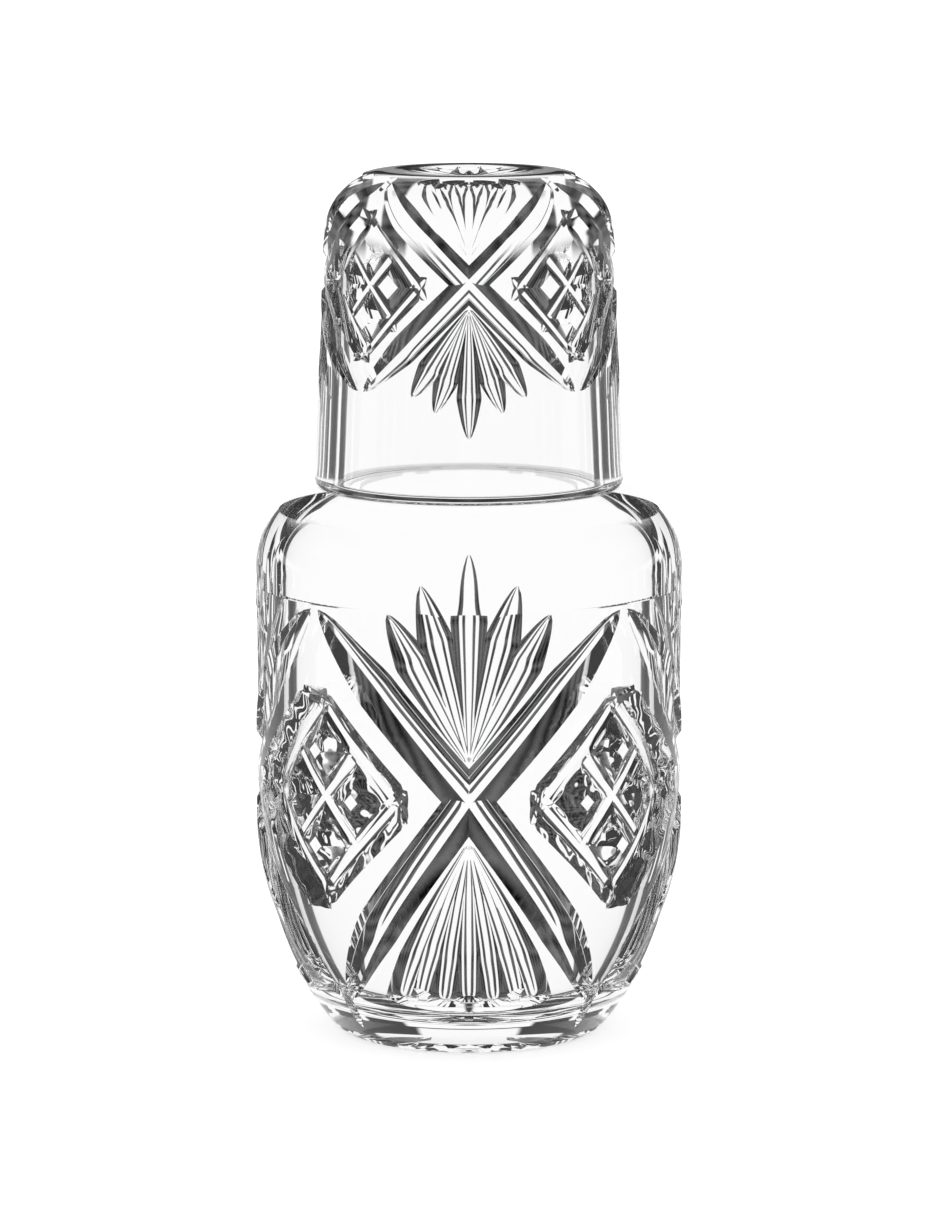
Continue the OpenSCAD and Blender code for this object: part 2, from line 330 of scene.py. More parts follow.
@dataclass(frozen=True)
class CutDesign:
    """The design cut into a vessel: crossed mitre cuts, two fans of leaves at each crossing, a net between.

    Heights and reaches run along the outline from the crossings, towards the shoulder or rim.
    """

    arm_up: float
    arm_down: float
    tail: float
    tall_start: float
    tall_reach: tuple[float, ...]
    short_start: float
    short_reach: tuple[float, ...]
    net_middle: float
    net_rise: float
    arm_depth: float
    leaf_depth: float
    net_depth: float
    valley: float
    leaf_valley: float
    net_valley: float
    net_side: Side
    net_edge: Side
    crossings: int = 4
    tall_turn: tuple[float, ...] = (12.9, 22.0)
    short_turn: tuple[float, ...] = (8.6, 16.0, 23.2)
    tall_arm_turn: float = 44.0
    short_arm_turn: float = 43.0
    net_turn: float = 12.2
    arm_steep: Side = Side(1.3)
    arm_open: Side = Side(1.7, 1.45)
    arm_root: float = 0.9
    arm_waist: float = 0.6
    arm_blunt: float = 0.65
    arm_line: Side = Side(1.0)
    arm_line_valley: float = 0.1
    arm_line_at: float = 1.15
    arm_line_depth: float = 0.5
    leaf_side: Side = Side(2.1, 1.45)
    leaf_root: float = 0.12
    leaf_waist: float = 0.68
    leaf_blunt: float = 0.7
    short_share: float = 0.85
    step_at: float = 0.985
    net_end: float = 1.36
    net_taper: float = 0.5
    net_blunt: float = 0.8
    tail_side: Side = Side(0.8)
    tail_share: float = 0.45
    tail_lap: float = 2.0
    tail_in: float = 0.3
    tail_out: float = 0.2

    def cutters(self, skin: Skin) -> MeshParts:
        """Returns the cutters of one crossing and of the net beside it."""
        parts = MeshParts()
        line = Section(self.arm_line, self.arm_line, self.arm_line_valley)
        for side in (-1.0, 1.0):
            run = self._arm(side)
            parts.add(*sweep(skin, run, self._arm_section(side)))
            parts.add(*sweep(skin, self._arm_line(skin, run, side), line))
        leaf = Section(self.leaf_side, self.leaf_side, self.leaf_valley)
        for turn, reach in self._fan(self.tall_turn, self.tall_reach):
            parts.add(*sweep(skin, self._leaf(turn, self.tall_start, reach), leaf))
        for turn, reach in self._fan(self.short_turn, self.short_reach):
            parts.add(*sweep(skin, self._blunt_leaf(turn, -self.short_start, -reach), leaf))
        parts.add(*sweep(skin, self._tail(), Section(self.tail_side, self.tail_side, self.leaf_valley)))
        for way in (-1.0, 1.0):
            for k in (-1.0, 0.0, 1.0):
                parts.add(*sweep(skin, self._net(way, k), self._net_section(way * k)))
        return parts

    def _arm(self, side: float) -> np.ndarray:
        """Returns the stations of the mitre cut that leans to one side, from its top tip down."""
        inwards = np.linspace(1.0, 0.0, ARM_STATIONS)
        share = np.concatenate([inwards, np.linspace(0.0, 1.0, ARM_STATIONS)[1:]])
        upper = np.arange(len(share)) < ARM_STATIONS
        turn = np.where(upper, side * self.tall_arm_turn, -side * self.short_arm_turn) * share
        run = np.where(upper, self.arm_up, -self.arm_down) * share
        tip = np.clip((1 - share) / (1 - self.arm_waist), 0, 1) ** self.arm_blunt
        depth = self.arm_depth * np.minimum(
            self.arm_root + (1 - self.arm_root) * share / self.arm_waist, tip)
        return np.stack([turn, run, depth], axis=1)

    def _arm_section(self, side: float) -> Section:
        """Returns the shape across a mitre cut, steep on the side that faces the base."""
        if side < 0.0:
            return Section(self.arm_open, self.arm_steep, self.valley)
        return Section(self.arm_steep, self.arm_open, self.valley)

    def _arm_line(self, skin: Skin, run: np.ndarray, side: float) -> np.ndarray:
        """Returns the stations of the thin line along the open side of a mitre cut."""
        line = run[1:-1]
        line = shifted(skin, line, -side * (self.valley / 2 + line[:, 2] * self.arm_line_at))
        line[:, 2] *= self.arm_line_depth
        return line

    @staticmethod
    def _fan(turns: tuple[float, ...], reaches: tuple[float, ...]) -> list[tuple[float, float]]:
        """Returns angle and reach of each leaf of a fan, the middle one first."""
        sides = [(side * turn, reach) for turn, reach in zip(turns, reaches[1:]) for side in (-1.0, 1.0)]
        return [(0.0, reaches[0]), *sides]

    def _leaf(self, turn: float, start: float, reach: float) -> np.ndarray:
        """Returns the stations of one pointed leaf, from its root to its tip."""
        share = np.linspace(0.0, 1.0, LEAF_STATIONS)
        tip = np.clip((1 - share) / (1 - self.leaf_waist), 0, 1) ** self.leaf_blunt
        depth = self.leaf_depth * np.minimum(
            self.leaf_root + (1 - self.leaf_root) * share / self.leaf_waist, tip)
        return np.stack([turn * share, start + (reach - start) * share, depth], axis=1)

    def _blunt_leaf(self, turn: float, start: float, reach: float) -> np.ndarray:
        """Returns the stations of one leaf that ends in a step."""
        share = np.append(np.linspace(0.0, self.step_at, LEAF_STATIONS - 1), 1.0)
        depth = self.leaf_depth * self.short_share * np.minimum(
            self.leaf_root + (1 - self.leaf_root) * share / self.leaf_waist, 1.0)
        return np.stack([turn * share, start + (reach - start) * share, depth], axis=1)

    def _tail(self) -> np.ndarray:
        """Returns the stations of the upright cut below the tips of two mitre cuts."""
        share = np.linspace(0.0, 1.0, TAIL_STATIONS)
        start = self.arm_down - self.tail_lap * self.arm_depth
        taper = np.minimum(share / self.tail_in, (1 - share) / self.tail_out)
        depth = self.arm_depth * self.tail_share * np.minimum(1.0, taper)
        turn = np.full(TAIL_STATIONS, self._between())
        return np.stack([turn, -start - (self.tail - start) * share, depth], axis=1)

    def _between(self) -> float:
        """Returns the angle halfway to the next crossing."""
        return 180.0 / self.crossings

    def _net_section(self, edge: float) -> Section:
        """Returns the shape across a cut of the net; its outer side is its left below 0, its right above 0."""
        return Section(self.net_edge if edge < 0.0 else self.net_side,
                       self.net_edge if edge > 0.0 else self.net_side, self.net_valley)

    def _net(self, way: float, k: float) -> np.ndarray:
        """Returns the stations of one cut of the net, which leans one way."""
        share = np.linspace(-self.net_end, self.net_end, NET_STATIONS)
        turn = self._between() + way * self.net_turn * (k + share)
        run = self.net_middle + self.net_rise * (share - k)
        taper = np.clip((self.net_end - np.abs(share)) / self.net_taper, 0.0, 1.0)
        depth = self.net_depth * taper**self.net_blunt
        return np.stack([turn, run, depth], axis=1)


# Width of the smooth step on either side of a band
BAND_SOFT = 0.8
# Angle between two neighbouring sides of the design
QUARTER = 90.0


class Signal:
    """A value in a node tree; arithmetic on it adds Math nodes."""

    def __init__(self, canvas: "Canvas", socket: bpy.types.NodeSocket) -> None:
        """Wraps an output socket."""
        self.canvas = canvas
        self.socket = socket

    def maths(self, operation: str, *values: Any) -> "Signal":
        """Returns the result of a Math node on this value and others."""
        node = self.canvas.node("ShaderNodeMath", {"operation": operation}, dict(enumerate((self, *values))))
        return Signal(self.canvas, node.outputs[0])

    def __add__(self, other: Any) -> "Signal":
        """Adds."""
        return self.maths("ADD", other)

    __radd__ = __add__

    def __sub__(self, other: Any) -> "Signal":
        """Takes away."""
        return self.maths("SUBTRACT", other)

    def __rsub__(self, other: Any) -> "Signal":
        """Takes this away from a number."""
        return (self * -1.0).maths("ADD", other)

    def __mul__(self, other: Any) -> "Signal":
        """Multiplies."""
        return self.maths("MULTIPLY", other)

    def __truediv__(self, other: Any) -> "Signal":
        """Divides."""
        return self.maths("DIVIDE", other)

    def __abs__(self) -> "Signal":
        """Drops the sign."""
        return self.maths("ABSOLUTE")

    def ramp(self, low: float, high: float) -> "Signal":
        """Returns 0 below one value and 1 above another, with a smooth step between."""
        node = self.canvas.node("ShaderNodeMapRange", {"interpolation_type": "SMOOTHSTEP"},
                                {"Value": self, "From Min": low, "From Max": high})
        return Signal(self.canvas, node.outputs["Result"])

    def band(self, start: float, end: float, soft: float = BAND_SOFT) -> "Signal":
        """Returns 1 between two values and 0 outside them, with a smooth step on both sides."""
        return self.ramp(start - soft, start) - self.ramp(end, end + soft)


class Canvas:
    """A node tree under construction."""

    def __init__(self, tree: bpy.types.NodeTree) -> None:
        """Empties the tree."""
        self.tree = tree
        tree.nodes.clear()

    def node(self, kind: str, settings: dict[str, Any] | None = None,
             inputs: dict[str | int, Any] | None = None) -> bpy.types.Node:
        """Adds a node.

        Args:
            kind: Its Blender type.
            settings: Its properties, set first.
            inputs: Values, sockets or signals for its inputs, by name or place.

        Returns:
            The node.
        """
        node = self.tree.nodes.new(kind)
        for name, value in (settings or {}).items():
            setattr(node, name, value)
        for name, value in (inputs or {}).items():
            socket = node.inputs[name]
            if isinstance(value, Signal):
                value = value.socket
            if isinstance(value, bpy.types.NodeSocket):
                self.tree.links.new(value, socket)
            else:
                socket.default_value = value
        return node

    def signal(self, node: bpy.types.Node, output: str | int) -> Signal:
        """Returns one output of a node as a signal."""
        return Signal(self, node.outputs[output])

    def axes(self, vector: bpy.types.NodeSocket) -> tuple[Signal, ...]:
        """Returns the three parts of a vector."""
        node = self.node("ShaderNodeSeparateXYZ", None, {0: vector})
        return tuple(self.signal(node, i) for i in range(3))

    def grey(self, tone: Signal) -> bpy.types.NodeSocket:
        """Returns a value as a shade of grey."""
        return self.node("ShaderNodeCombineColor", None, {"Red": tone, "Green": tone, "Blue": tone}).outputs[0]

    @staticmethod
    def aside(x: Signal, y: Signal) -> Signal:
        """Returns the angle of a direction from the nearest of the four sides, in degrees."""
        around = y.maths("ARCTAN2", x) * (2.0 / math.pi)
        return abs(around - around.maths("ROUND")) * QUARTER


# Attribute that is 1 on the faces of the cuts
CUT_MARK = "cut"


class CutTree:
    """Geometry Nodes that repeat a crossing's cutters around a blank and take them out of it."""

    BLANK = "Geometry"
    CUTTERS = "Cutters"
    CROSSINGS = "Crossings"
    FINISH = "Finish"

    def __init__(self, name: str) -> None:
        """Builds the tree."""
        self.group = bpy.data.node_groups.new(name, "GeometryNodeTree")
        face = self.group.interface
        face.new_socket(self.BLANK, in_out="INPUT", socket_type="NodeSocketGeometry")
        self.sockets = {
            self.CUTTERS: face.new_socket(self.CUTTERS, in_out="INPUT", socket_type="NodeSocketObject"),
            self.CROSSINGS: face.new_socket(self.CROSSINGS, in_out="INPUT", socket_type="NodeSocketInt"),
            self.FINISH: face.new_socket(self.FINISH, in_out="INPUT", socket_type="NodeSocketMaterial"),
        }
        face.new_socket(self.BLANK, in_out="OUTPUT", socket_type="NodeSocketGeometry")
        canvas = Canvas(self.group)
        entry = canvas.node("NodeGroupInput")
        cutters = canvas.node("GeometryNodeObjectInfo", {"transform_space": "ORIGINAL"},
                              {"Object": entry.outputs[self.CUTTERS]})
        island = canvas.node("GeometryNodeInputMeshIsland")
        marked = canvas.node("GeometryNodeStoreNamedAttribute", {"data_type": "FLOAT", "domain": "FACE"},
                             {"Geometry": cutters.outputs["Geometry"], "Name": CUT_MARK, "Value": 1.0})
        split = canvas.node("GeometryNodeSplitToInstances", {"domain": "FACE"},
                            {"Geometry": marked.outputs[0], "Group ID": island.outputs["Island Index"]})
        places = canvas.node("GeometryNodePoints", None, {"Count": entry.outputs[self.CROSSINGS]})
        index = canvas.signal(canvas.node("GeometryNodeInputIndex"), "Index")
        turn = index * (2 * math.pi) / Signal(canvas, entry.outputs[self.CROSSINGS])
        about = canvas.node("ShaderNodeCombineXYZ", None, {"Z": turn})
        spread = canvas.node("GeometryNodeInstanceOnPoints", None,
                             {"Points": places.outputs[0], "Instance": split.outputs["Instances"],
                              "Rotation": about.outputs[0]})
        single = canvas.node("GeometryNodeRealizeInstances", None,
                             {"Geometry": spread.outputs[0], "Realize All": False, "Depth": 1})
        cut = canvas.node("GeometryNodeMeshBoolean", {"operation": "DIFFERENCE", "solver": "MANIFOLD"},
                          {"Mesh 1": entry.outputs[self.BLANK], "Mesh 2": single.outputs[0]})
        whole = canvas.node("GeometryNodeRealizeInstances", None, {"Geometry": cut.outputs["Mesh"]})
        dressed = canvas.node("GeometryNodeSetMaterial", None,
                              {"Geometry": whole.outputs[0], "Material": entry.outputs[self.FINISH]})
        canvas.node("NodeGroupOutput", None, {self.BLANK: dressed.outputs[0]})

    def run(self, blank: bpy.types.Object, values: dict[str, Any]) -> bpy.types.Mesh:
        """Runs the tree on a blank.

        Args:
            blank: Object that is cut.
            values: What the named inputs are.

        Returns:
            The cut mesh.
        """
        modifier = blank.modifiers.new(self.group.name, "NODES")
        modifier.node_group = self.group
        for name, value in values.items():
            modifier[self.sockets[name].identifier] = value
        depsgraph = bpy.context.evaluated_depsgraph_get()
        mesh = bpy.data.meshes.new_from_object(blank.evaluated_get(depsgraph), depsgraph=depsgraph)
        blank.modifiers.remove(modifier)
        return mesh


@dataclass(frozen=True)
class ClearGlass:
    """Clear glass with the faint unevenness of hand finishing.

    The front bends light as glass does. The carafe's shoulder and the underside of its base bend it less.
    Faces behind the first wall, the carafe's inner roof and the tumbler's inner base don't bend it, so that
    the design on the back stays out of the front's.
    """

    name: str = "clear_cut_glass"
    tint: tuple[float, float, float, float] = (0.99, 0.99, 0.99, 1.0)
    gleam: tuple[float, float, float, float] = (0.3, 0.3, 0.3, 1.0)
    index: float = 1.52
    soft_index: float = 1.12
    far_index: float = 1.0
    ripple_scale: float = 110.0
    ripple_height: float = 0.12
    plain_ripple: float = 0.04
    dent_scale: float = 230.0
    dent_height: float = 1.1
    haze: float = 0.012
    haze_from: tuple[float, float] = (0.55, 0.8)
    wall_passes: float = 1.5
    step: float = 0.05
    edge: float = 0.1
    fade: float = 0.3
    seat_z: float = 129.0
    soft_z: float = 106.5
    soft_drop: float = 0.96
    roof_z: float = 122.5
    roof_fade: float = 4.0
    heel_x: float = 19.75
    heel_z: float = 189.0
    cup_r: float = 11.0
    cup_fade: float = 6.0
    rim_h: float = 0.8
    rim_share: float = 0.25
    bore_r: float = 44.4
    body_r: float = 50.0
    belly_r: float = 77.0
    belly_z: float = 51.0
    net_valley: float = 2.9
    valley_fade: float = 0.4
    net_reach: tuple[float, float] = (1.5, 1.6)
    net_z: float = 61.5
    net_h: float = 22.0
    net_turn: float = 24.4
    base_h: float = 2.9
    base_r: float = 33.0

    def material(self) -> bpy.types.Material:
        """Returns the finish as a material."""
        material = bpy.data.materials.new(self.name)
        material.use_nodes = True
        canvas = Canvas(material.node_tree)
        place = canvas.node("ShaderNodeTexCoord").outputs["Object"]
        x, y, z = (axis / MM for axis in canvas.axes(place))
        ripple = self._noise(canvas, place, self.ripple_scale)
        mark = canvas.signal(canvas.node("ShaderNodeAttribute", {"attribute_name": CUT_MARK}), "Fac")
        radius = (x * x + y * y).maths("SQRT")
        dents = (self._noise(canvas, place, self.dent_scale) - 0.5) * mark * self._in_net(x, y, z, radius)
        height = ripple * (mark + self.plain_ripple) * self.ripple_height + dents * self.dent_height
        bump = canvas.node("ShaderNodeBump", None, {"Height": height, "Strength": 1.0, "Distance": MM})
        near = self._shader(canvas, self.index, ripple, bump)
        soft = self._shader(canvas, self.soft_index, ripple, bump)
        far = self._shader(canvas, self.far_index, ripple, bump)
        passes = canvas.signal(canvas.node("ShaderNodeLightPath"), "Transmission Depth")
        beyond = passes.maths("GREATER_THAN", self.wall_passes)
        above = z.ramp(self.seat_z - self.step, self.seat_z + self.step)
        rim = above - z.ramp(self.seat_z + self.rim_h, self.seat_z + self.rim_h + self.fade)
        within = 1.0 - radius.ramp(self.bore_r, self.bore_r + self.fade)
        level = z + within * self.soft_drop
        roof = within * z.ramp(self.roof_z - self.roof_fade, self.roof_z) * (1.0 - above)
        out, up = (radius - self.heel_x).maths("MAXIMUM", 0.0), (z - self.heel_z).maths("MAXIMUM", 0.0)
        heel = (out * out + up * up).maths("SQRT")
        cup = 1.0 - heel.ramp(self.cup_r, self.cup_r + self.edge)
        cup = cup * z.ramp(self.heel_z - self.cup_fade, self.heel_z)
        shoulder = level.ramp(self.soft_z - self.step, self.soft_z + self.step) * (1.0 - above) * (1.0 - mark)
        base = 1.0 - z.ramp(self.base_h, self.base_h + self.edge)
        base = base * (1.0 - radius.ramp(self.base_r, self.base_r + self.edge))
        front = canvas.node("ShaderNodeMixShader", None, {
            "Fac": shoulder + base, 1: near.outputs["BSDF"], 2: soft.outputs["BSDF"]})
        shader = canvas.node("ShaderNodeMixShader", None, {
            "Fac": (beyond * (1.0 - rim * self.rim_share)).maths("MAXIMUM", roof).maths("MAXIMUM", cup),
            1: front.outputs[0], 2: far.outputs["BSDF"]})
        canvas.node("ShaderNodeOutputMaterial", None, {"Surface": shader.outputs[0]})
        return material

    @staticmethod
    def _noise(canvas: Canvas, place: bpy.types.NodeSocket, scale: float) -> Signal:
        """Returns a smooth random height between 0 and 1."""
        return canvas.signal(canvas.node("ShaderNodeTexNoise", None, {
            "Vector": place, "Scale": scale, "Detail": 0.0}), "Fac")

    def _in_net(self, x: Signal, y: Signal, z: Signal, radius: Signal) -> Signal:
        """Returns 1 on the carafe around its nets, apart from the valleys of their cuts, and 0 elsewhere."""
        quarter = y.maths("ARCTAN2", x) * (2.0 / math.pi)
        turn = abs(quarter - quarter.maths("FLOOR") - 0.5) * QUARTER
        away = turn / self.net_turn + abs(z - self.net_z) / self.net_h
        below = (self.belly_z - z).maths("MAXIMUM", 0.0)
        depth = self.body_r - below * below / (2.0 * self.belly_r) - radius
        shallow = 1.0 - depth.ramp(self.net_valley - self.valley_fade, self.net_valley)
        return (1.0 - away.ramp(*self.net_reach)) * shallow

    def _shader(self, canvas: Canvas, index: float, ripple: Signal, bump: bpy.types.Node) -> bpy.types.Node:
        """Returns the glass shader with a given refractive index."""
        return canvas.node("ShaderNodeBsdfPrincipled", None, {
            "Base Color": self.tint, "Roughness": ripple.ramp(*self.haze_from) * self.haze, "IOR": index,
            "Transmission Weight": 1.0, "Specular Tint": self.gleam, "Normal": bump.outputs["Normal"]})


class Place(Enum):
    """How a vessel stands in the set."""

    UPRIGHT = "upright"
    UPSIDE_DOWN = "upside down"


@dataclass
class Vessel:
    """A turned glass vessel with a design cut into its outside."""

    name: str = ""
    slot: str = "clear_glass"
    place: Place = Place.UPRIGHT
    around: int = 288
    crease: float = 11.0
    hollow_h: float = 1.5
    stand_ring: float = 4.0
    star_rays: int = 16
    star_depth: float = 1.2
    star_root: float = 0.06
    star_waist: float = 0.6
    star_tip: float = 0.94
    star_start: float = 0.9
    star_fill: float = 0.9
    star_clear: float = 1.0
    ring_soft: float = 0.5
    side_steps: int = 24
    inner_steps: int = 12
    cross_z: float = 0.0

    def outline(self) -> np.ndarray:
        """Returns half of the outline, inside and outside."""
        raise NotImplementedError

    def skin(self, run: np.ndarray) -> tuple[np.ndarray, np.ndarray, np.ndarray]:
        """Returns radius, height and tilt of the outside at runs along it from the crossings."""
        raise NotImplementedError

    def design(self) -> CutDesign:
        """Returns the design cut into this vessel."""
        raise NotImplementedError

    def build(self, finish: bpy.types.Material) -> bpy.types.Object:
        """Makes the vessel.

        Args:
            finish: Its material.

        Returns:
            The finished object, riding on its body in place of its CAD node.
        """
        low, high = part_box(self.name)
        blank_parts = MeshParts()
        blank_parts.add(*turned(self.outline(), self.around))
        blank = self._object(self.name + "_blank", blank_parts.mesh(self.name + "_blank"))
        design = self.design()
        parts = design.cutters(self.skin)
        self._star(parts, self.star_rays // design.crossings)
        cutters = self._object(self.name + "_cutters", parts.mesh(self.name + "_cutters"))
        tree = CutTree(self.name + "_cuts")
        mesh = tree.run(blank, {CutTree.CUTTERS: cutters, CutTree.CROSSINGS: design.crossings,
                                CutTree.FINISH: finish})
        for spare in (blank, cutters):
            data = spare.data
            bpy.data.objects.remove(spare)
            bpy.data.meshes.remove(data)
        if self.place is Place.UPSIDE_DOWN:
            mesh.transform(Matrix.Translation((0.0, 0.0, high.z)) @ Matrix.Rotation(math.pi, 4, "X"))
        else:
            mesh.transform(Matrix.Translation((0.0, 0.0, low.z)))
        self._smooth(mesh)
        mesh.name = self.name + "_glass"
        piece = self._object(self.name + "_glass", mesh)
        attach(piece, self.name)
        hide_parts(self.name)
        LOG.info("%s: %d faces", piece.name, len(mesh.polygons))
        return piece

    def _smooth(self, mesh: bpy.types.Mesh) -> None:
        """Shades the turned surfaces smooth and keeps the edges of the cuts sharp."""
        mesh.shade_smooth()
        mesh.set_sharp_from_angle(angle=math.radians(self.crease))

    @staticmethod
    def _object(name: str, mesh: bpy.types.Mesh) -> bpy.types.Object:
        """Returns a new object in the scene with a mesh."""
        made = bpy.data.objects.new(name, mesh)
        bpy.context.scene.collection.objects.link(made)
        return made

    def ring(self) -> float:
        """Returns the outer radius of the flat ring under the base."""
        raise NotImplementedError

    def _star(self, parts: MeshParts, rays: int) -> None:
        """Adds the cutters for some of the rays of the star under the base."""
        edge = self.ring() - self.stand_ring
        root, waist, tip = edge * self.star_root, edge * self.star_waist, edge * self.star_tip
        roof = self.hollow_h * (1 - (waist / edge) ** 2) + self.star_depth
        fill = waist * math.tan(math.pi / self.star_rays) * self.star_fill
        width = fill * (roof + self.star_clear) / self.star_depth
        ray = np.array([[root, 0.0, self.hollow_h * self.star_start], [waist, -width, -self.star_clear],
                        [waist, 0.0, roof], [waist, width, -self.star_clear], [tip, 0.0, 0.0]])
        faces = [(0, 2, 1), (0, 3, 2), (0, 1, 3), (4, 1, 2), (4, 2, 3), (4, 3, 1)]
        for i in range(rays):
            turn = (i + 0.5) * 2 * math.pi / self.star_rays
            about = np.array([[math.cos(turn), math.sin(turn), 0.0], [-math.sin(turn), math.cos(turn), 0.0],
                              [0.0, 0.0, 1.0]])
            parts.add(ray @ about, faces)

    def _underside(self, pen: Pen) -> Pen:
        """Draws the hollow under the base and the flat ring that it stands on."""
        ring = self.ring()
        edge = ring - self.stand_ring
        dome = (edge**2 + self.hollow_h**2) / 2 / self.hollow_h
        half = math.degrees(math.asin(edge / dome))
        pen.arc(0.0, self.hollow_h - dome, dome, 90.0, 90.0 - half)
        return pen.line(ring, 0.0, soften=self.ring_soft)


# Lowest angle and number of places where the carafe's inner belly may meet its floor
LOWEST_MEET = -60.0
MEET_TRIES = 6001


@dataclass
class Carafe(Vessel):
    """The carafe: round belly, flat seat on its shoulder for the tumbler, and a wide neck."""

    name: str = "carafe"
    body_r: float = 50.0
    seat_z: float = 129.0
    seat_r: float = 35.45
    shoulder_r: float = 19.5
    belly_r: float = 77.0
    belly_z: float = 51.0
    foot_bevel: float = 1.2
    wall: float = 6.0
    floor: float = 10.0
    bowl_r: float = 170.0
    neck_r: float = 28.42
    neck_wall: float = 3.0
    neck_h: float = 32.0
    foot_turn: float = 0.4
    seat_soft: float = 0.5
    neck_root: float = 1.5
    neck_soft: float = 3.0
    floor_soft: float = 4.0
    seat_steps: int = 3
    neck_steps: int = 6
    cross_z: float = 62.5

    def __post_init__(self) -> None:
        """Works out the centres of the curves."""
        self.shoulder_x = self.body_r - self.shoulder_r
        self.shoulder_z = self.seat_z - math.sqrt(self.shoulder_r**2 - (self.seat_r - self.shoulder_x) ** 2)
        self.belly_x = self.body_r - self.belly_r
        self.foot_r = self.belly_x + math.sqrt(self.belly_r**2 - self.belly_z**2)

    def ring(self) -> float:
        """Returns the outer radius of the flat ring under the base."""
        return self.foot_r - self.foot_bevel

    def outline(self) -> np.ndarray:
        """Returns half of the outline, inside and outside."""
        low = -math.degrees(math.asin((self.belly_z - self.foot_bevel) / self.belly_r)) + self.foot_turn
        high = math.degrees(math.acos((self.seat_r - self.shoulder_x) / self.shoulder_r))
        lip = self.neck_wall / 2
        neck_in = self.neck_r - self.neck_wall
        inner_shoulder = self.shoulder_r - self.wall
        inner_belly = self.belly_r - self.wall
        bowl_z = self.floor + self.bowl_r
        meet = self._floor_edge(inner_belly, bowl_z)
        pen = self._underside(Pen(0.0, self.hollow_h))
        pen.arc(self.belly_x, self.belly_z, self.belly_r, low, 0.0)
        pen.line(self.body_r, self.shoulder_z, steps=self.side_steps)
        pen.arc(self.shoulder_x, self.shoulder_z, self.shoulder_r, 0.0, high, soften=self.seat_soft)
        pen.line(self.neck_r, self.seat_z, steps=self.seat_steps, soften=self.neck_root)
        pen.line(self.neck_r, self.seat_z + self.neck_h - lip, steps=self.neck_steps)
        pen.arc(self.neck_r - lip, self.seat_z + self.neck_h - lip, lip, 0.0, 180.0)
        pen.line(neck_in, self.shoulder_z + inner_shoulder, steps=self.neck_steps, soften=self.neck_soft)
        pen.line(self.shoulder_x, self.shoulder_z + inner_shoulder)
        pen.arc(self.shoulder_x, self.shoulder_z, inner_shoulder, 90.0, 0.0)
        pen.line(self.body_r - self.wall, self.belly_z, steps=self.inner_steps)
        pen.arc(self.belly_x, self.belly_z, inner_belly, 0.0, meet[0], soften=self.floor_soft)
        pen.arc(0.0, bowl_z, self.bowl_r, meet[1], -90.0)
        return pen.outline()

    def _floor_edge(self, inner_belly: float, bowl_z: float) -> tuple[float, float]:
        """Returns the angles, on the inner belly and on the bowl, where the two meet."""
        turn = np.radians(np.linspace(0.0, LOWEST_MEET, MEET_TRIES))
        r = self.belly_x + inner_belly * np.cos(turn)
        z = self.belly_z + inner_belly * np.sin(turn)
        at = int(np.argmin(np.abs(np.hypot(r, z - bowl_z) - self.bowl_r)))
        return math.degrees(turn[at]), math.degrees(math.atan2(z[at] - bowl_z, r[at]))

    def skin(self, run: np.ndarray) -> tuple[np.ndarray, np.ndarray, np.ndarray]:
        """Returns radius, height and tilt of the outside at runs along it from the crossings."""
        z = self.cross_z + run
        low = np.maximum(self.belly_z - z, 0.0) / self.belly_r
        high = np.maximum(z - self.shoulder_z, 0.0) / self.shoulder_r
        radius = np.where(low > 0, self.belly_x + self.belly_r * np.cos(low),
                          self.shoulder_x + self.shoulder_r * np.cos(high))
        level = np.where(low > 0, self.belly_z - self.belly_r * np.sin(low),
                         np.minimum(z, self.shoulder_z) + self.shoulder_r * np.sin(high))
        return radius, level, high - low

    def design(self) -> CutDesign:
        """Returns the design cut into the carafe."""
        return CutDesign(
            arm_up=43.0, arm_down=52.0, tail=61.0, tall_start=9.5, tall_reach=(58.0, 50.5, 43.5),
            short_start=9.0, short_reach=(49.5, 51.0, 48.0, 51.0), net_middle=-1.0, net_rise=11.0,
            arm_depth=3.2, leaf_depth=2.05, net_depth=3.2, valley=1.3, leaf_valley=0.6, net_valley=1.4,
            net_side=Side(1.85, 1.3), net_edge=Side(1.5, 1.3))


